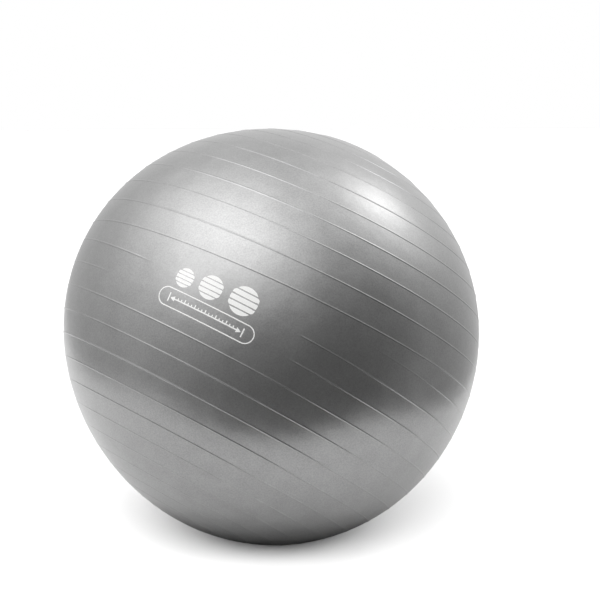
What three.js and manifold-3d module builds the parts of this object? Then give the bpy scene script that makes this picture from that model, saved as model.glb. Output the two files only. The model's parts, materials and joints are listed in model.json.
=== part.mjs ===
// Exercise ball, 75 cm: an inflated PVC skin, the valve seat bonded into it, and a push-in valve plug.
// Millimetres, +Z up. The origin is the centre of the contact patch on the floor, and -Y is the printed side.

import * as THREE from "three";
import { mergeVertices } from "three/addons/utils/BufferGeometryUtils.js";
import Module from "manifold-3d";

const wasm = await Module();
wasm.setup();

// ---- driving dimensions ----

const BALL_DIAMETER = 750;
const SKIN_WALL = 0.9;
const CONTACT_RADIUS = 84; // flat patch that the ball's own weight presses on the floor

// The mould axis runs through the poles that the skin's ribs circle, and the valve sits at the upper one.
const AXIS_TILT_DEG = 34; // away from straight up
const AXIS_HEADING_DEG = 37.4; // the way it leans, turned from +X towards +Y

const LAND_RADIUS = 24; // thicker, flat round land in the skin, for the valve
const LAND_THICKNESS = 2.4;
const LAND_EDGE = 0.5;
const LAND_SINK = 0.2; // below the top of the round ball
const BOND_GAP = 0.3; // glue line between the skin and the seat

const HUB_RADIUS = 12;
const FLANGE_RADIUS = 21;
const FLANGE_THICKNESS = 2.4;
const FLANGE_EDGE = 0.8;
const NECK_RADIUS = 7.4;
const NECK_DEPTH = 17;
const NECK_FILLET = 2;
const RECESS_RADIUS = 10;
const RECESS_DEPTH = 2.5;
const BORE_RADIUS = 4;
const BORE_LEAD_IN = 0.7;

const HEAD_RADIUS = 9.6;
const HEAD_THICKNESS = 2.2;
const HEAD_EDGE_RADIUS = 0.7;
const HEAD_REST_GAP = 0.3; // between the head and the floor of its recess
const DISH_RADIUS = 6.8;
const DISH_DEPTH = 0.6;
const STEM_RADIUS = 3.3;
const STEM_LENGTH = 17.5;
const BEAD_RADIUS = 3.92;
const BEAD_HALF_WIDTH = 0.9;
const BEAD_DEPTHS = [3.4, 6.8, 10.2]; // below the head
const TIP_RADIUS = 2.3;
const TIP_TAPER = 3.2;
const CORE_RADIUS = 1.4;
const CORE_DEPTH = 9;

const SKIN_SEGMENTS = 60;
const SKIN_RINGS = 32;
const VALVE_SEGMENTS = 40;
const CORNER_STEPS = 4;

// ---- derived places ----

const RADIUS = BALL_DIAMETER / 2;
const CENTRE_HEIGHT = Math.sqrt(RADIUS ** 2 - CONTACT_RADIUS ** 2);
const LAND_HEIGHT = RADIUS - LAND_SINK; // along the mould axis, from the ball's centre
const SKIN_HOLE_RADIUS = HUB_RADIUS + BOND_GAP;

const tilt = THREE.MathUtils.degToRad(AXIS_TILT_DEG);
const heading = THREE.MathUtils.degToRad(AXIS_HEADING_DEG);
const mouldAxis = new THREE.Vector3(
  Math.sin(tilt) * Math.cos(heading),
  Math.sin(tilt) * Math.sin(heading),
  Math.cos(tilt),
);
const lathesToMouldAxis = new THREE.Quaternion().setFromUnitVectors(
  new THREE.Vector3(0, 1, 0),
  mouldAxis,
);
const valvePlace = new THREE.Vector3(0, 0, CENTRE_HEIGHT).addScaledVector(mouldAxis, LAND_HEIGHT);

// ---- materials ----

const skinVinyl = new THREE.MeshStandardMaterial({
  color: 0x9b9c9d,
  roughness: 0.38,
  metalness: 0.35,
});
const seatVinyl = new THREE.MeshStandardMaterial({
  color: 0x8a8b8d,
  roughness: 0.5,
  metalness: 0.1,
});
const plugPolyethylene = new THREE.MeshStandardMaterial({
  color: 0xf1f1ee,
  roughness: 0.42,
  metalness: 0,
});

// ---- solids and profiles ----

// A closed geometry as a solid that can be joined and cut.
function solidOf(geometry) {
  const bare = geometry.clone();
  bare.deleteAttribute("normal");
  bare.deleteAttribute("uv");
  const merged = mergeVertices(bare, 1e-3);
  return new wasm.Manifold(
    new wasm.Mesh({
      numProp: 3,
      vertProperties: new Float32Array(merged.attributes.position.array),
      triVerts: new Uint32Array(merged.index.array),
    }),
  );
}

// A solid back as a geometry.
function geometryOf(solid) {
  const { vertProperties, triVerts } = solid.getMesh();
  const geometry = new THREE.BufferGeometry();
  geometry.setAttribute("position", new THREE.BufferAttribute(vertProperties, 3));
  geometry.setIndex(new THREE.BufferAttribute(triVerts, 1));
  geometry.computeVertexNormals();
  return geometry;
}

// A lathe turns a profile of [radius, height] points about +Y. The points run upwards on the outside.
function lathe(points, segments) {
  const profile = points.map(([radius, height]) => new THREE.Vector2(radius, height));
  return new THREE.LatheGeometry(profile, segments);
}

// Points on an arc about [radius, height], from one angle to another, in degrees from the +radius side.
function arc(radius, height, size, fromDeg, toDeg, steps) {
  return Array.from({ length: steps + 1 }, (_, i) => {
    const angle = THREE.MathUtils.degToRad(fromDeg + ((toDeg - fromDeg) * i) / steps);
    return [radius + size * Math.cos(angle), height + size * Math.sin(angle)];
  });
}

// ---- the skin ----

// The ball standing on its contact patch, shrunk inwards by inset.
function ballBody(inset) {
  const size = RADIUS - inset;
  const drop = CENTRE_HEIGHT - inset; // from the ball's centre to its flat foot
  const footAngle = -THREE.MathUtils.radToDeg(Math.asin(drop / size));
  const side = arc(0, CENTRE_HEIGHT, size, footAngle, 90, SKIN_RINGS);
  side[SKIN_RINGS] = [0, CENTRE_HEIGHT + size]; // exactly on the axis
  return solidOf(lathe([[0, inset], ...side], SKIN_SEGMENTS).rotateX(Math.PI / 2));
}

// A lathed geometry whose height 0 is the outside of the land, moved to its place on the mould axis.
function atValve(geometry) {
  geometry.applyQuaternion(lathesToMouldAxis);
  geometry.translate(...valvePlace.toArray());
  return geometry;
}

function ballSkin() {
  const land = lathe(
    [
      [0, -LAND_THICKNESS],
      [LAND_RADIUS, -LAND_THICKNESS],
      [LAND_RADIUS, -LAND_EDGE],
      [LAND_RADIUS - LAND_EDGE, 0],
      [0, 0],
    ],
    VALVE_SEGMENTS,
  );
  const hole = new THREE.CylinderGeometry(
    SKIN_HOLE_RADIUS,
    SKIN_HOLE_RADIUS,
    4 * LAND_THICKNESS,
    VALVE_SEGMENTS,
  );
  const skin = ballBody(0).subtract(ballBody(SKIN_WALL)).add(solidOf(atValve(land)));
  return geometryOf(skin.subtract(solidOf(atValve(hole))));
}

// ---- the valve, with height 0 at the outside of the land ----

// A ring that is thickest in the middle: flange under the skin, hub up through it, neck down into the air.
function seatGeometry() {
  const flangeTop = -(LAND_THICKNESS + BOND_GAP);
  const flangeBottom = flangeTop - FLANGE_THICKNESS;
  return lathe(
    [
      [BORE_RADIUS, -NECK_DEPTH],
      [NECK_RADIUS, -NECK_DEPTH],
      ...arc(NECK_RADIUS + NECK_FILLET, flangeBottom - NECK_FILLET, NECK_FILLET, 180, 90, CORNER_STEPS),
      [FLANGE_RADIUS - FLANGE_EDGE, flangeBottom],
      [FLANGE_RADIUS, flangeBottom + FLANGE_EDGE],
      [FLANGE_RADIUS, flangeTop],
      [HUB_RADIUS, flangeTop],
      [HUB_RADIUS, 0],
      [RECESS_RADIUS, 0],
      [RECESS_RADIUS, -RECESS_DEPTH],
      [BORE_RADIUS + BORE_LEAD_IN, -RECESS_DEPTH],
      [BORE_RADIUS, -RECESS_DEPTH - BORE_LEAD_IN],
      [BORE_RADIUS, -NECK_DEPTH],
    ],
    VALVE_SEGMENTS,
  );
}

// A stopper with a dished head, sealing beads round its stem, and a core hole up from its tip.
function plugGeometry() {
  const headBottom = HEAD_REST_GAP - RECESS_DEPTH;
  const headTop = headBottom + HEAD_THICKNESS;
  const tip = headBottom - STEM_LENGTH;
  const edge = HEAD_RADIUS - HEAD_EDGE_RADIUS;
  const beads = [...BEAD_DEPTHS].reverse().flatMap((depth) => [
    [STEM_RADIUS, headBottom - depth - BEAD_HALF_WIDTH],
    [BEAD_RADIUS, headBottom - depth],
    [STEM_RADIUS, headBottom - depth + BEAD_HALF_WIDTH],
  ]);
  return lathe(
    [
      [0, tip + CORE_DEPTH],
      [CORE_RADIUS, tip + CORE_DEPTH],
      [CORE_RADIUS, tip],
      [TIP_RADIUS, tip],
      [STEM_RADIUS, tip + TIP_TAPER],
      ...beads,
      [STEM_RADIUS, headBottom],
      [HEAD_RADIUS, headBottom],
      ...arc(edge, headTop - HEAD_EDGE_RADIUS, HEAD_EDGE_RADIUS, 0, 90, CORNER_STEPS),
      [DISH_RADIUS + DISH_DEPTH, headTop],
      [DISH_RADIUS, headTop - DISH_DEPTH],
      [0, headTop - DISH_DEPTH],
    ],
    VALVE_SEGMENTS,
  );
}

// ---- the assembly ----

function named(name, geometry, material) {
  const mesh = new THREE.Mesh(geometry, material);
  mesh.name = name;
  return mesh;
}

const valve = new THREE.Group();
valve.quaternion.copy(lathesToMouldAxis);
valve.position.copy(valvePlace);
valve.add(named("valve_seat", seatGeometry(), seatVinyl));
valve.add(named("valve_plug", plugGeometry(), plugPolyethylene));

const ball = new THREE.Group();
ball.add(named("ball_shell", ballSkin(), skinVinyl));
ball.add(valve);

export default ball;
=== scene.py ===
"""Looks of the exercise ball: ribbed skin, printed mark, valve, floor, lights and camera."""

import json
import math
from collections import namedtuple

import bpy
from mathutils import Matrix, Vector


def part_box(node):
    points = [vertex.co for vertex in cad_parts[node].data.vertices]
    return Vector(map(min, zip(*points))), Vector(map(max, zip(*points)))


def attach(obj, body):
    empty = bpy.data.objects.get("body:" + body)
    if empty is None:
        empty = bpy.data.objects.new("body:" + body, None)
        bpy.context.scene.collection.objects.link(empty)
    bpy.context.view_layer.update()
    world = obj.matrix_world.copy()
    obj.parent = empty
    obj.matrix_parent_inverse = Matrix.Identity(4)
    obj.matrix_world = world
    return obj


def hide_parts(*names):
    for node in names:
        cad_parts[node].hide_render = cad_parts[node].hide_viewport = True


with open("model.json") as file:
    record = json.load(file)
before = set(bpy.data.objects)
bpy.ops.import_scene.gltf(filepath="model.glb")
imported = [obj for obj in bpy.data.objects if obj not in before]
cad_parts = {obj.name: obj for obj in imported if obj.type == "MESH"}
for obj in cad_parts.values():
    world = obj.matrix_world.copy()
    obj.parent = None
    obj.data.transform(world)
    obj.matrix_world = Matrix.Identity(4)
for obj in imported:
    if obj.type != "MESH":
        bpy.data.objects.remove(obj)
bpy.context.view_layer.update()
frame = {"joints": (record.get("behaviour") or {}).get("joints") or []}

# ---- the frame: metres, +Z up, the print faces -Y ----

CONTACT_RADIUS = 0.084
BALL_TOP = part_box("ball_shell")[1].z
RADIUS = (BALL_TOP + CONTACT_RADIUS**2 / BALL_TOP) / 2
CENTRE = Vector((0, 0, BALL_TOP - RADIUS))

# Latitudes and azimuths turn about the mould axis: azimuth 0 faces -Y and grows to the right of the print.
MOULD_AXIS = Vector(frame["joints"][0]["axis"]).normalized()
RIGHT_WAY = MOULD_AXIS.cross(Vector((0, -1, 0))).normalized()
FRONT_WAY = RIGHT_WAY.cross(MOULD_AXIS)

# ---- the skin ----

SKIN_WALL = 0.0009
FOOT_SOFTNESS = 0.0025  # height over which the skin rolls from its side onto the contact patch
COLUMNS = 300
GAP_STEP = 0.011  # longest step between ribs
INNER_ROWS = 24
OVAL_SWELL = 0.003  # seen from the print's side, the skin is a little longer one way than the other
OVAL_TURN = -52  # degrees from the right to the way that it is longest
THREE_SIDED_SWELL = 0.003
SWELL_START = 6  # degrees off the valve at which the swells set in, and degrees until they are full
SWELL_RUN = 22
FINE_UNEVENNESS = 0.00012
FINE_WAVES = [((7, 0, 5), 1.3), ((0, 6, -9), 4.1), ((11, -8, 0), 2.6)]  # how fast along x, y, z, and phase

RIB_HALF_WIDTH = 0.0014
RIB_HEIGHT = 0.0005
RIB_PROFILE = [(-1.6, 0), (-1, 0), (-0.5, 0.72), (0, 1), (0.5, 0.72), (1, 0), (1.6, 0)]

# Each half of the mould is cut with one spiral groove, from near its rim to near its pole. Angles are in
# degrees. The lean is how far the spiral's axis is off the mould axis, and towards which azimuth.
Spiral = namedtuple(
    "Spiral", "start_azimuth start_latitude pitch end_latitude run_in run_out lean lean_azimuth"
)
UPPER_RIBS = Spiral(-177, 3.3, 6.9, 76, 25, 8, 0, 0)
LOWER_RIBS = Spiral(6, 3.9, -6.44, -77, 55, 8, 0.93, 44)

# The lower spiral leaves a window for the print: the turn that it is in, its azimuths, and over how many
# degrees the rib dies away at each end.
Window = namedtuple("Window", "turn left right fade_left fade_right")
PRINT_WINDOWS = [Window(1, -43, -1, 9, 1.5), Window(2, -58, -0.5, 9, 1.5)]

LAND_RADIUS = 0.024
LAND_THICKNESS = 0.0024
LAND_HEIGHT = RADIUS - 0.0002  # outside of the land, from the ball's centre
LAND_EDGE = 0.0005
LAND_ROUND = 0.0002
LAND_FOOT = 0.0008  # round the land, where the skin starts
LAND_CREASE = 0.0001
LAND_FLAT = 0.003  # from each edge of the land to where it is truly flat
HOLE_RADIUS = 0.0123
HOLE_ROUND = 0.0003
OUTER_SKIN_EDGE = 1.05 * LAND_RADIUS
INNER_SKIN_EDGE = 1.1 * LAND_RADIUS

# ---- the print ----

INK_TOP = 0.00012
INK_ROOT = -0.0001
INK_STEP = 0.003
PRINT_LATITUDE = -8.4
PRINT_AZIMUTH = -24.8
PRINT_SLOPE = -1.9
CAPSULE_LENGTH = 0.178
CAPSULE_HEIGHT = 0.03
CAPSULE_LINE = 0.0018
CAPSULE_END_STEPS = 18
BALL_ICONS = [(-0.058, 0.032), (-0.01, 0.04), (0.048, 0.048)]  # place along the print, and diameter
ICON_BASE = 0.022  # above the middle of the capsule
ICON_SLICES = 5
ICON_GAP = 0.2  # of the pitch from slice to slice
ICON_STATIONS = 20
ICON_TIP = 0.999  # how near a slice comes to its own ends
ARROW_REACH = 0.39 * CAPSULE_LENGTH  # from the middle to an end mark
ARROW_GAP = 0.003  # from an end mark to the arrow's tip
ARROW_HEAD = 0.011  # from an end mark to the back of the head
ARROW_STEP = 0.001
ARROW_TIP_HALF = 0.0002
ARROW_BARB_HALF = 0.0044
END_MARK_HALF = 0.0075
ARROW_LINE = 0.0022
GRADUATIONS = 9  # on each half of the arrow
GRADUATION_BASE = 0.0012
GRADUATION_TALL = 0.0062  # every third one
GRADUATION_SHORT = 0.004
GRADUATION_LINE = 0.0018

# ---- the valve, with height 0 at the outside of the land ----

VALVE_SEGMENTS = 128
VALVE_TOP = CENTRE + MOULD_AXIS * LAND_HEIGHT

BOND_GAP = 0.0003
HUB_RADIUS = 0.012
FLANGE_RADIUS = 0.021
FLANGE_THICKNESS = 0.0024
NECK_RADIUS = 0.0074
NECK_DEPTH = 0.017
RECESS_RADIUS = 0.01
RECESS_DEPTH = 0.0025
BORE_RADIUS = 0.004
BORE_LEAD_IN = 0.0007

HEAD_RADIUS = 0.0096
HEAD_THICKNESS = 0.0022
HEAD_REST_GAP = 0.0003
DISH_RADIUS = 0.0068
DISH_DEPTH = 0.0006
BUTTON_RADIUS = 0.003  # in the middle of the dish
BUTTON_HEIGHT = 0.0003
BUTTON_DRAFT = 0.0004
STEM_RADIUS = 0.0033
STEM_LENGTH = 0.0175
BEAD_RADIUS = 0.0039
BEAD_HALF_WIDTH = 0.0009
BEAD_DEPTHS = [0.0034, 0.0068, 0.0102]  # below the head
TIP_RADIUS = 0.0023
TIP_TAPER = 0.0032
CORE_RADIUS = 0.0014
CORE_DEPTH = 0.009


def blend_in(x):
    """0 before 0, 1 after 1, and smooth between."""
    x = min(max(x, 0), 1)
    return x * x * (3 - 2 * x)


def mould_direction(latitude, azimuth):
    """Unit vector at a latitude and azimuth in degrees."""
    lat, az = math.radians(latitude), math.radians(azimuth)
    level = FRONT_WAY * math.cos(az) + RIGHT_WAY * math.sin(az)
    return level * math.cos(lat) + MOULD_AXIS * math.sin(lat)


def unevenness(way):
    """How far the inflated skin stands off a true sphere, in one direction from the centre."""
    across = math.hypot(way.x, way.z)
    turn = math.atan2(way.z, way.x)
    swell = OVAL_SWELL * across**2 * math.cos(2 * (turn - math.radians(OVAL_TURN)))
    swell += THREE_SIDED_SWELL * across**3 * math.sin(3 * turn)
    off_valve = math.degrees(way.angle(MOULD_AXIS))
    fine = sum(math.sin(way.dot(Vector(wave)) + phase) for wave, phase in FINE_WAVES) / len(FINE_WAVES)
    return swell * blend_in((off_valve - SWELL_START) / SWELL_RUN) + FINE_UNEVENNESS * fine


def settled(point, floor):
    """The point, kept off the floor, with a smooth roll onto it."""
    rise = point.z - floor
    if rise < FOOT_SOFTNESS:
        rise = max(rise + FOOT_SOFTNESS, 0) ** 2 / (4 * FOOT_SOFTNESS)
    return Vector((point.x, point.y, floor + rise))


def mesh_object(name, points, faces, material, smooth=True):
    mesh = bpy.data.meshes.new(name)
    mesh.from_pydata([tuple(p) for p in points], [], faces)
    mesh.validate()
    mesh.polygons.foreach_set("use_smooth", [smooth] * len(mesh.polygons))
    obj = bpy.data.objects.new(name, mesh)
    bpy.context.scene.collection.objects.link(obj)
    mesh.materials.append(material)
    return obj


# ---- rib layout ----


def rib_strength(spiral, turned, azimuth, length):
    """1 on a full rib, falling to 0 at the spiral's ends and in the print's window.

    Turned and length are in degrees round the spiral, from its start.
    """
    strength = blend_in(turned / spiral.run_in) * blend_in((length - turned) / spiral.run_out)
    if spiral is LOWER_RIBS:
        for window in PRINT_WINDOWS:
            if round((turned - azimuth + spiral.start_azimuth) / 360) == window.turn:
                left = blend_in((window.left - azimuth) / window.fade_left)
                right = blend_in((azimuth - window.right) / window.fade_right)
                strength *= max(left, right)
    return strength


def ribs_on_column(azimuth):
    """(latitude, strength) of each rib that crosses a column, from the far pole up."""
    found = []
    for spiral in (LOWER_RIBS, UPPER_RIBS):
        length = 360 * (spiral.end_latitude - spiral.start_latitude) / spiral.pitch
        turned = (azimuth - spiral.start_azimuth) % 360
        lean = spiral.lean * math.cos(math.radians(azimuth - spiral.lean_azimuth))
        while turned < length:
            latitude = spiral.start_latitude + spiral.pitch * turned / 360 - lean
            found.append((latitude, rib_strength(spiral, turned, azimuth, length)))
            turned += 360
    return sorted(found)


def outer_column(azimuth):
    """Points up the outside of the skin, from just off the far pole to the edge of the valve's land."""
    half = math.degrees(RIB_HALF_WIDTH / RADIUS)
    reach = RIB_PROFILE[-1][0] * half
    edge = math.degrees(math.acos(OUTER_SKIN_EDGE / RADIUS))
    stops = [(-90 + reach, None)] + ribs_on_column(azimuth) + [(edge + reach, None)]
    rows = []
    for (low, _), (high, strength) in zip(stops, stops[1:]):
        gap = high - low - 2 * reach
        steps = max(1, round(math.radians(gap) * RADIUS / GAP_STEP))
        rows += [(low + reach + gap * i / steps, 0) for i in range(1, steps)]
        if strength is not None:
            rows += [(high + offset * half, lift * strength) for offset, lift in RIB_PROFILE]
    points = []
    for latitude, lift in rows:
        way = mould_direction(latitude, azimuth)
        points.append(CENTRE + way * (RADIUS + unevenness(way) + lift * RIB_HEIGHT))
    return points


def land_column(azimuth):
    """Points over the valve's land, down through its hole and back out under it."""
    sphere = math.sqrt(RADIUS**2 - LAND_RADIUS**2)
    inner = math.sqrt((RADIUS - SKIN_WALL) ** 2 - LAND_RADIUS**2)
    under = LAND_HEIGHT - LAND_THICKNESS
    outline = [
        (LAND_RADIUS + LAND_FOOT, sphere - LAND_CREASE / 2),
        (LAND_RADIUS + LAND_CREASE, sphere + LAND_CREASE),
        (LAND_RADIUS, LAND_HEIGHT - LAND_ROUND),
        (LAND_RADIUS - LAND_ROUND, LAND_HEIGHT),
        (LAND_RADIUS - LAND_FLAT, LAND_HEIGHT),
        (HOLE_RADIUS + LAND_FLAT, LAND_HEIGHT),
        (HOLE_RADIUS + HOLE_ROUND, LAND_HEIGHT),
        (HOLE_RADIUS, LAND_HEIGHT - HOLE_ROUND),
        (HOLE_RADIUS, under + LAND_ROUND),
        (HOLE_RADIUS + LAND_ROUND, under),
        (LAND_RADIUS - LAND_EDGE, under),
        (LAND_RADIUS, under + LAND_EDGE),
        (LAND_RADIUS + LAND_FOOT, inner),
    ]
    level = mould_direction(0, azimuth)
    return [CENTRE + level * radius + MOULD_AXIS * height for radius, height in outline]


def inner_column(azimuth):
    """Points down the inside of the skin, from the land to just off the far pole."""
    top = math.degrees(math.acos(INNER_SKIN_EDGE / RADIUS))
    latitudes = [top - (top + 90) * i / INNER_ROWS for i in range(INNER_ROWS)]
    ways = [mould_direction(lat, azimuth) for lat in latitudes]
    return [CENTRE + way * (RADIUS + unevenness(way) - SKIN_WALL) for way in ways]


def zipped(left, right, points):
    """Triangles that join two neighbouring columns of point numbers, always across the shorter diagonal."""
    faces = []
    i = j = 0
    while i < len(left) - 1 or j < len(right) - 1:
        up_left = up_right = math.inf
        if i < len(left) - 1:
            up_left = (points[left[i + 1]] - points[right[j]]).length_squared
        if j < len(right) - 1:
            up_right = (points[right[j + 1]] - points[left[i]]).length_squared
        if up_left < up_right:
            face = (left[i], right[j], left[i + 1])
            i += 1
        else:
            face = (left[i], right[j], right[j + 1])
            j += 1
        if len(set(face)) == 3:
            faces.append(face)
    return faces


def ball_skin(material):
    """One closed shell: ribbed outside, valve land and hole, plain inside."""
    reach = RADIUS + unevenness(-MOULD_AXIS)
    points = [settled(CENTRE - MOULD_AXIS * reach, 0)]
    points.append(settled(CENTRE - MOULD_AXIS * (reach - SKIN_WALL), SKIN_WALL))
    columns = []
    for c in range(COLUMNS):
        azimuth = 360 * c / COLUMNS - 180
        outside = [settled(p, 0) for p in outer_column(azimuth) + land_column(azimuth)]
        inside = [settled(p, SKIN_WALL) for p in inner_column(azimuth)]
        first = len(points)
        points += outside + inside
        columns.append([0, *range(first, len(points)), 1])
    faces = []
    for left, right in zip(columns, columns[1:] + columns[:1]):
        faces += zipped(left, right, points)
    return mesh_object("ball_skin", points, faces, material)


# ---- the print ----


def on_skin(along, up, proud):
    """A point of the print, measured from the middle of its capsule, that far proud of the skin."""
    slope = math.radians(PRINT_SLOPE)
    turned_along = along * math.cos(slope) - up * math.sin(slope)
    turned_up = along * math.sin(slope) + up * math.cos(slope)
    latitude = PRINT_LATITUDE + math.degrees(turned_up / RADIUS)
    middle = math.cos(math.radians(PRINT_LATITUDE))
    way = mould_direction(latitude, PRINT_AZIMUTH + math.degrees(turned_along / (RADIUS * middle)))
    return CENTRE + way * (RADIUS + unevenness(way) + proud)


def ink_stroke(line, half_widths, closed, points, faces):
    """Adds a thin solid stroke along a line of (along, up) points, with a half width at each."""
    count = len(line)
    first = len(points)
    for i, (x, y) in enumerate(line):
        before = line[i - 1] if i or closed else line[i]
        after = line[(i + 1) % count] if i < count - 1 or closed else line[i]
        way = Vector((after[0] - before[0], after[1] - before[1])).normalized()
        for side, proud in ((-1, INK_TOP), (1, INK_TOP), (1, INK_ROOT), (-1, INK_ROOT)):
            shift = side * half_widths[i]
            points.append(on_skin(x - way.y * shift, y + way.x * shift, proud))
    for i in range(count if closed else count - 1):
        here, there = first + 4 * i, first + 4 * ((i + 1) % count)
        for k in range(4):
            faces.append((here + k, there + k, there + (k + 1) % 4, here + (k + 1) % 4))
    if not closed:
        last = first + 4 * (count - 1)
        faces.append(tuple(first + k for k in range(4)))
        faces.append(tuple(last + k for k in (3, 2, 1, 0)))


def straight(start, end, step=INK_STEP):
    """Points from start to end, no further apart than the step."""
    count = max(1, math.ceil(math.dist(start, end) / step))
    return [
        (start[0] + (end[0] - start[0]) * i / count, start[1] + (end[1] - start[1]) * i / count)
        for i in range(count + 1)
    ]


def capsule_outline(points, faces):
    half = (CAPSULE_LENGTH - CAPSULE_HEIGHT) / 2
    turns = [math.pi * (i / CAPSULE_END_STEPS - 0.5) for i in range(CAPSULE_END_STEPS + 1)]
    reach = CAPSULE_HEIGHT / 2
    right = [(half + reach * math.cos(a), reach * math.sin(a)) for a in turns]
    left = [(-x, -y) for x, y in right]
    top = straight(right[-1], left[0])[1:-1]
    bottom = straight(left[-1], right[0])[1:-1]
    line = right + top + left + bottom
    ink_stroke(line, [CAPSULE_LINE / 2] * len(line), True, points, faces)


def size_arrow(points, faces):
    """A double arrow between two end marks, with graduations along it, inside the capsule."""
    shaft_end = ARROW_REACH - ARROW_HEAD
    for side in (-1, 1):
        tip = straight((side * (ARROW_REACH - ARROW_GAP), 0), (side * shaft_end, 0), ARROW_STEP)
        growth = (ARROW_BARB_HALF - ARROW_TIP_HALF) / (len(tip) - 1)
        ink_stroke(tip, [ARROW_TIP_HALF + growth * i for i in range(len(tip))], False, points, faces)
        mark = straight((side * ARROW_REACH, -END_MARK_HALF), (side * ARROW_REACH, END_MARK_HALF))
        ink_stroke(mark, [ARROW_LINE / 2] * len(mark), False, points, faces)
    shaft = straight((-shaft_end, 0), (shaft_end, 0))
    ink_stroke(shaft, [ARROW_LINE / 2] * len(shaft), False, points, faces)
    for i in range(1 - GRADUATIONS, GRADUATIONS):
        along = shaft_end * i / GRADUATIONS
        top = GRADUATION_TALL if i % 3 == 0 else GRADUATION_SHORT
        line = straight((along, GRADUATION_BASE), (along, top))
        ink_stroke(line, [GRADUATION_LINE / 2] * len(line), False, points, faces)


def ball_icons(points, faces):
    """Three balls, each larger than the last, as level slices of a disc with thin gaps between."""
    for place, diameter in BALL_ICONS:
        radius = diameter / 2
        pitch = diameter / (ICON_SLICES - ICON_GAP)
        for i in range(ICON_SLICES):
            low = i * pitch - radius
            high = low + pitch * (1 - ICON_GAP)
            nearest = 0 if low < 0 < high else min(abs(low), abs(high))
            half = math.sqrt(radius**2 - nearest**2)
            line, widths = [], []
            for k in range(ICON_STATIONS + 1):
                along = -ICON_TIP * half * math.cos(math.pi * k / ICON_STATIONS)
                rim = math.sqrt(radius**2 - along**2)
                top, bottom = min(high, rim), max(low, -rim)
                line.append((place + along, ICON_BASE + radius + (top + bottom) / 2))
                widths.append((top - bottom) / 2)
            ink_stroke(line, widths, False, points, faces)


def print_ink(material):
    points, faces = [], []
    capsule_outline(points, faces)
    size_arrow(points, faces)
    ball_icons(points, faces)
    return mesh_object("print_ink", points, faces, material, smooth=False)


# ---- the valve ----


def lathed(name, outline, material):
    """A solid of revolution about the mould axis.

    Its outline of (radius, height) points closes on itself, or starts and ends on the axis.
    """
    points, faces, rings = [], [], []
    for radius, height in outline:
        first = len(points)
        if radius == 0:
            points.append(VALVE_TOP + MOULD_AXIS * height)
            rings.append([first] * VALVE_SEGMENTS)
            continue
        for s in range(VALVE_SEGMENTS):
            level = mould_direction(0, 360 * s / VALVE_SEGMENTS)
            points.append(VALVE_TOP + level * radius + MOULD_AXIS * height)
        rings.append(list(range(first, len(points))))
    pairs = list(zip(rings, rings[1:]))
    if outline[0][0] != 0:
        pairs.append((rings[-1], rings[0]))
    for lower, upper in pairs:
        for s in range(VALVE_SEGMENTS):
            t = (s + 1) % VALVE_SEGMENTS
            corners = dict.fromkeys([lower[s], lower[t], upper[t], upper[s]])
            if len(corners) > 2:
                faces.append(tuple(corners))
    return mesh_object(name, points, faces, material)


def rounded(corners, closed):
    """The (radius, height) points of an outline, from its corners (radius, height, rounding).

    A corner with a rounding becomes a short arc of five points.
    """
    result = []
    count = len(corners)
    for i, (radius, height, rounding) in enumerate(corners):
        here = Vector((radius, height))
        if rounding == 0 or (not closed and i in (0, count - 1)):
            result.append((radius, height))
            continue
        before, after = (Vector(corners[k % count][:2]) for k in (i - 1, i + 1))
        start = here + (before - here).normalized() * rounding
        end = here + (after - here).normalized() * rounding
        for t in (0, 0.25, 0.5, 0.75, 1):
            point = start * (1 - t) ** 2 + here * 2 * t * (1 - t) + end * t * t
            result.append(tuple(point))
    return result


def valve_seat(material):
    """Flange under the skin, hub up through it, and neck down into the air."""
    flange_top = -(LAND_THICKNESS + BOND_GAP)
    flange_bottom = flange_top - FLANGE_THICKNESS
    corners = [
        (BORE_RADIUS, -NECK_DEPTH, 0.0004),
        (NECK_RADIUS, -NECK_DEPTH, 0.0005),
        (NECK_RADIUS, flange_bottom, 0.0018),
        (FLANGE_RADIUS, flange_bottom, 0.0007),
        (FLANGE_RADIUS, flange_top, 0.0003),
        (HUB_RADIUS, flange_top, 0),
        (HUB_RADIUS, 0, 0.0004),
        (RECESS_RADIUS, 0, 0.0003),
        (RECESS_RADIUS, -RECESS_DEPTH, 0.0002),
        (BORE_RADIUS + BORE_LEAD_IN, -RECESS_DEPTH, 0.0002),
        (BORE_RADIUS, -RECESS_DEPTH - BORE_LEAD_IN, 0.0003),
    ]
    return lathed("valve_seat_moulding", rounded(corners, True), material)


def valve_plug(material):
    """Stopper with a dished head, sealing beads round its stem, and a core hole up from its tip."""
    head_bottom = HEAD_REST_GAP - RECESS_DEPTH
    head_top = head_bottom + HEAD_THICKNESS
    dish = head_top - DISH_DEPTH
    tip = head_bottom - STEM_LENGTH
    corners = [
        (0, tip + CORE_DEPTH, 0),
        (CORE_RADIUS, tip + CORE_DEPTH, 0),
        (CORE_RADIUS, tip, 0.0002),
        (TIP_RADIUS, tip, 0.0004),
        (STEM_RADIUS, tip + TIP_TAPER, 0.0003),
    ]
    for depth in reversed(BEAD_DEPTHS):
        corners += [
            (STEM_RADIUS, head_bottom - depth - BEAD_HALF_WIDTH, 0.0002),
            (BEAD_RADIUS, head_bottom - depth, 0.0003),
            (STEM_RADIUS, head_bottom - depth + BEAD_HALF_WIDTH, 0.0002),
        ]
    corners += [
        (STEM_RADIUS, head_bottom, 0.0003),
        (HEAD_RADIUS, head_bottom, 0.0002),
        (HEAD_RADIUS, head_top, 0.0008),
        (DISH_RADIUS + DISH_DEPTH, head_top, 0.0004),
        (DISH_RADIUS, dish, 0.0004),
        (BUTTON_RADIUS, dish, 0.0003),
        (BUTTON_RADIUS - BUTTON_DRAFT, dish + BUTTON_HEIGHT, 0.0003),
        (0, dish + BUTTON_HEIGHT, 0),
    ]
    return lathed("stopper", rounded(corners, False), material)


# ---- materials ----


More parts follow.
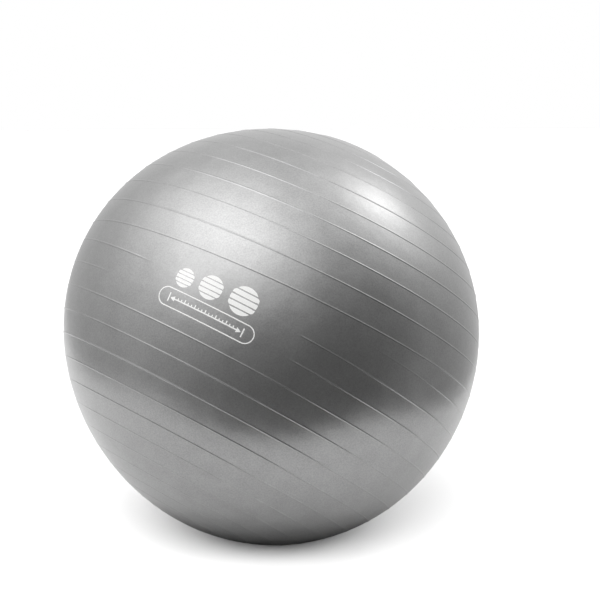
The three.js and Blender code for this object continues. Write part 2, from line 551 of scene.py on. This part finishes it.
def node_material(name, color, metallic, roughness):
    material = bpy.data.materials.new(name)
    material.use_nodes = True
    shader = material.node_tree.nodes["Principled BSDF"]
    shader.inputs["Base Color"].default_value = (*color, 1)
    shader.inputs["Metallic"].default_value = metallic
    shader.inputs["Roughness"].default_value = roughness
    return material, shader


def noise(material, scale, detail):
    """A noise texture in the object's own coordinates; scale is in features per metre."""
    nodes, links = material.node_tree.nodes, material.node_tree.links
    place = nodes.new("ShaderNodeTexCoord")
    texture = nodes.new("ShaderNodeTexNoise")
    texture.inputs["Scale"].default_value = scale
    texture.inputs["Detail"].default_value = detail
    links.new(place.outputs["Object"], texture.inputs["Vector"])
    return texture.outputs["Fac"]


def ranged(material, source, low, high):
    """The source, from its usual 0.3 to 0.7, stretched between low and high."""
    node = material.node_tree.nodes.new("ShaderNodeMapRange")
    node.inputs["From Min"].default_value = 0.3
    node.inputs["From Max"].default_value = 0.7
    node.inputs["To Min"].default_value = low
    node.inputs["To Max"].default_value = high
    material.node_tree.links.new(source, node.inputs["Value"])
    return node.outputs["Result"]


def math_node(tree, operation, *values):
    """A math node's output. Each value is a number or another node's output."""
    node = tree.nodes.new("ShaderNodeMath")
    node.operation = operation
    for socket, value in zip(node.inputs, values):
        if isinstance(value, (int, float)):
            socket.default_value = value
        else:
            tree.links.new(value, socket)
    return node.outputs["Value"]


def tinted(material, shader, color, factor):
    """Base colour that is the plain colour times a grey factor."""
    node = material.node_tree.nodes.new("ShaderNodeVectorMath")
    node.operation = "SCALE"
    node.inputs[0].default_value = color
    material.node_tree.links.new(factor, node.inputs["Scale"])
    material.node_tree.links.new(node.outputs["Vector"], shader.inputs["Base Color"])


def bumped(material, shader, height, distance):
    node = material.node_tree.nodes.new("ShaderNodeBump")
    node.inputs["Distance"].default_value = distance
    node.inputs["Strength"].default_value = 1
    material.node_tree.links.new(height, node.inputs["Height"])
    material.node_tree.links.new(node.outputs["Normal"], shader.inputs["Normal"])


def skin_vinyl():
    """Silver-grey pearl vinyl: mottled and cloudy in the colour, the gloss and the surface."""
    color = (0.32, 0.32, 0.32)
    material, shader = node_material("pearl_vinyl", color, 0.77, 0.31)
    grain = noise(material, 420, 3)
    clouds = noise(material, 26, 4)
    tree = material.node_tree
    fine_tint = ranged(material, grain, 0.89, 1.11)
    cloudy_tint = ranged(material, clouds, 0.95, 1.05)
    tinted(material, shader, color, math_node(tree, "MULTIPLY", fine_tint, cloudy_tint))
    fine_gloss = ranged(material, noise(material, 170, 3), 0.95, 1.05)
    cloudy_gloss = ranged(material, clouds, 0.295, 0.325)
    tree.links.new(math_node(tree, "MULTIPLY", fine_gloss, cloudy_gloss), shader.inputs["Roughness"])
    bumped(material, shader, noise(material, 55, 4), 0.0003)
    return material


def white_ink():
    color = (0.86, 0.86, 0.85)
    material, shader = node_material("white_ink", color, 0.0, 0.5)
    tinted(material, shader, color, ranged(material, noise(material, 500, 3), 0.96, 1.03))
    bumped(material, shader, noise(material, 900, 3), 0.00004)
    return material


def seat_vinyl():
    color = (0.26, 0.265, 0.27)
    material, shader = node_material("seat_vinyl", color, 0.1, 0.5)
    tinted(material, shader, color, ranged(material, noise(material, 900, 4), 0.9, 1.08))
    bumped(material, shader, noise(material, 2500, 3), 0.00004)
    return material


def plug_polyethylene():
    color = (0.78, 0.78, 0.76)
    material, shader = node_material("plug_polyethylene", color, 0.0, 0.42)
    shader.inputs["Subsurface Weight"].default_value = 0.2
    shader.inputs["Subsurface Scale"].default_value = 0.002
    tinted(material, shader, color, ranged(material, noise(material, 1200, 3), 0.97, 1.02))
    bumped(material, shader, noise(material, 3000, 3), 0.00003)
    return material


# ---- the pieces ----

skin = ball_skin(skin_vinyl())
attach(skin, "ball")
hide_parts("ball_shell")

ink = print_ink(white_ink())
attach(ink, "ball")

seat = valve_seat(seat_vinyl())
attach(seat, "ball")
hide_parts("valve_seat")

stopper = valve_plug(plug_polyethylene())
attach(stopper, "plug")
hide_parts("valve_plug")

# ---- the studio ----

FLOOR_REACH = 5.0
TABLE_LEFT = -1.22
TABLE_RIGHT = 0.81
TABLE_FRONT = -0.71
TABLE_CORNER = 0.5
TABLE_CORNER_STEPS = 16
TABLE_DROP = 0.0005
FLOOR_BRIGHTNESS = 0.63
# the table's paper is brighter than the floor's, partly as painted light in place of the tent's boxes,
# which light only the floor
TABLE_BRIGHTNESS = 0.85
TABLE_PAINTED_SHADE_RADIUS = 0.12  # painted shade: under the ball, within this radius, the table top is black
TABLE_PAINTED_SHADE_END = 0.3  # end of the painted shade: from here on the table has its full brightness
TENT_DARK = 0.01

# Azimuth 0 is behind the ball, seen from the camera, and grows to the right.
Softbox = namedtuple("Softbox", "name azimuth rise distance width height glow")
PRINT_FILL = Softbox("print_fill", -150, 30, 2.5, 1.2, 1.2, 0.9)
TENT = [
    Softbox("tent_front", 180, 30, 4, 8, 2.4, 8),
    Softbox("tent_left", -112, 25, 4, 3.3, 2.2, 1.6),
    Softbox("tent_right", 112, 25, 4, 3.3, 2.2, 2),
]

# Soft round glows in the dark tent round the ball. The greater the tightness, the narrower the glow.
Glow = namedtuple("Glow", "azimuth rise tightness strength")
GLOWS = [
    Glow(-150, 64, 6.7, 2.67),
    Glow(-73, 59.5, 6.9, 1.45),
    Glow(63, 43, 11, 1.85),
    Glow(14, 7, 2, 1.04),
    Glow(-100, 15, 3.1, 0.63),
    Glow(92, -12, 22, 0.2),
    Glow(-46, -12, 22, 0.19),
    Glow(53, 41, 90, 3.8),
    Glow(-126, 36, 60, 1.1),
]


def studio_way(azimuth, rise):
    """Unit vector from the ball towards a light."""
    az, up = math.radians(azimuth), math.radians(rise)
    return Vector((math.sin(az) * math.cos(up), math.cos(az) * math.cos(up), math.sin(up)))


def softbox(spec, lit):
    """An area light that faces the ball, and lights only the objects of one collection."""
    way = studio_way(spec.azimuth, spec.rise)
    light = bpy.data.lights.new(spec.name, "AREA")
    light.shape = "RECTANGLE"
    light.size = spec.width
    light.size_y = spec.height
    light.energy = spec.glow * math.pi * spec.width * spec.height
    obj = bpy.data.objects.new(spec.name, light)
    obj.location = CENTRE + way * spec.distance
    obj.rotation_euler = way.to_track_quat("Z", "Y").to_euler()
    obj.light_linking.receiver_collection = lit
    obj.visible_camera = False
    bpy.context.scene.collection.objects.link(obj)


def receivers(name, objects):
    group = bpy.data.collections.new(name)
    for obj in objects:
        group.objects.link(obj)
    return group


def table_top():
    """The outline of the table top: rounded front corners, and a straight far side out of sight."""
    turns = [math.pi / 2 * i / TABLE_CORNER_STEPS for i in range(TABLE_CORNER_STEPS + 1)]
    insets = [(TABLE_CORNER * (1 - math.cos(a)), TABLE_CORNER * (1 - math.sin(a))) for a in turns]
    left = [(TABLE_LEFT + x, TABLE_FRONT + y) for x, y in insets]
    right = [(TABLE_RIGHT - x, TABLE_FRONT + y) for x, y in reversed(insets)]
    return left + right + [(TABLE_RIGHT, FLOOR_REACH), (TABLE_LEFT, FLOOR_REACH)]


def level_sheet(name, outline, height, material):
    points = [(x, y, height) for x, y in outline]
    return mesh_object(name, points, [tuple(range(len(points)))], material, smooth=False)


def matt_paper(name, brightness):
    material, shader = node_material(name, [brightness] * 3, 0.0, 0.9)
    shader.inputs["Specular IOR Level"].default_value = 0.0
    return material, shader


def table_paper_with_painted_shade():
    """Matt paper with painted shade: black where the ball stands on it, brightening away from there."""
    material, shader = matt_paper("table_paper_with_painted_shade", TABLE_BRIGHTNESS)
    nodes, links = material.node_tree.nodes, material.node_tree.links
    place = nodes.new("ShaderNodeTexCoord")
    away = nodes.new("ShaderNodeVectorMath")
    away.operation = "LENGTH"
    links.new(place.outputs["Object"], away.inputs[0])
    fade = nodes.new("ShaderNodeMapRange")
    fade.interpolation_type = "SMOOTHSTEP"
    fade.inputs["From Min"].default_value = TABLE_PAINTED_SHADE_RADIUS
    fade.inputs["From Max"].default_value = TABLE_PAINTED_SHADE_END
    links.new(away.outputs["Value"], fade.inputs["Value"])
    tinted(material, shader, [TABLE_BRIGHTNESS] * 3, fade.outputs["Result"])
    return material


# The camera sees a plain white floor, which the tent's soft boxes light too. The ball reflects a smaller
# table top in the same place, which only the glows light; its paper is brighter, partly as painted light,
# and has painted shade under the ball.
floor_paper, _ = matt_paper("floor_paper", FLOOR_BRIGHTNESS)
floor_corners = [(x * FLOOR_REACH, y * FLOOR_REACH) for x, y in ((-1, -1), (1, -1), (1, 1), (-1, 1))]
floor = level_sheet("floor", floor_corners, 0, floor_paper)
floor.visible_diffuse = False
floor.visible_glossy = False
floor.visible_shadow = False
table = level_sheet("table_top", table_top(), -TABLE_DROP, table_paper_with_painted_shade())
table.visible_camera = False

for lit, boxes in (
    (receivers("lit_by_print_fill", [ink]), [PRINT_FILL]),
    (receivers("lit_by_tent", [floor]), TENT),
):
    for box in boxes:
        softbox(box, lit)

# ---- the world: white to the camera, and the tent's glows to everything else ----


def studio_world():
    world = bpy.data.worlds.new("studio")
    world.use_nodes = True
    tree = world.node_tree
    nodes, links = tree.nodes, tree.links
    way = nodes.new("ShaderNodeTexCoord").outputs["Generated"]
    light = TENT_DARK
    for glow in GLOWS:
        off = nodes.new("ShaderNodeVectorMath")
        off.operation = "DOT_PRODUCT"
        off.inputs[1].default_value = studio_way(glow.azimuth, glow.rise)
        links.new(way, off.inputs[0])
        fall = math_node(tree, "MULTIPLY_ADD", off.outputs["Value"], glow.tightness, -glow.tightness)
        shine = math_node(tree, "EXPONENT", fall)
        light = math_node(tree, "MULTIPLY_ADD", shine, glow.strength, light)
    seen = nodes.new("ShaderNodeMix")
    seen.data_type = "RGBA"
    links.new(nodes.new("ShaderNodeLightPath").outputs["Is Camera Ray"], seen.inputs["Factor"])
    links.new(light, seen.inputs["A"])
    seen.inputs["B"].default_value = (1, 1, 1, 1)
    links.new(seen.outputs["Result"], nodes["Background"].inputs["Color"])
    return world


bpy.context.scene.world = studio_world()

# ---- the camera ----

CAMERA_RISE = 15.5
CAMERA_DISTANCE = 3.0
CAMERA_LENS = 99
AIM_RIGHT = 0.98  # degrees off the ball's centre
AIM_UP = 1.21

rise = math.radians(CAMERA_RISE)
camera_way = Vector((0, -math.cos(rise), math.sin(rise)))
camera_up = Vector((0, math.sin(rise), math.cos(rise)))
camera = bpy.data.objects.new("camera", bpy.data.cameras.new("camera"))
camera.data.lens = CAMERA_LENS
camera.data.sensor_width = 36
camera.location = CENTRE + camera_way * CAMERA_DISTANCE
to_the_right = Vector((math.tan(math.radians(AIM_RIGHT)), 0, 0))
aim = to_the_right + camera_up * math.tan(math.radians(AIM_UP)) - camera_way
camera.rotation_euler = aim.to_track_quat("-Z", "Y").to_euler()
bpy.context.scene.collection.objects.link(camera)
bpy.context.scene.camera = camera
bpy.context.scene.view_settings.view_transform = "Standard"
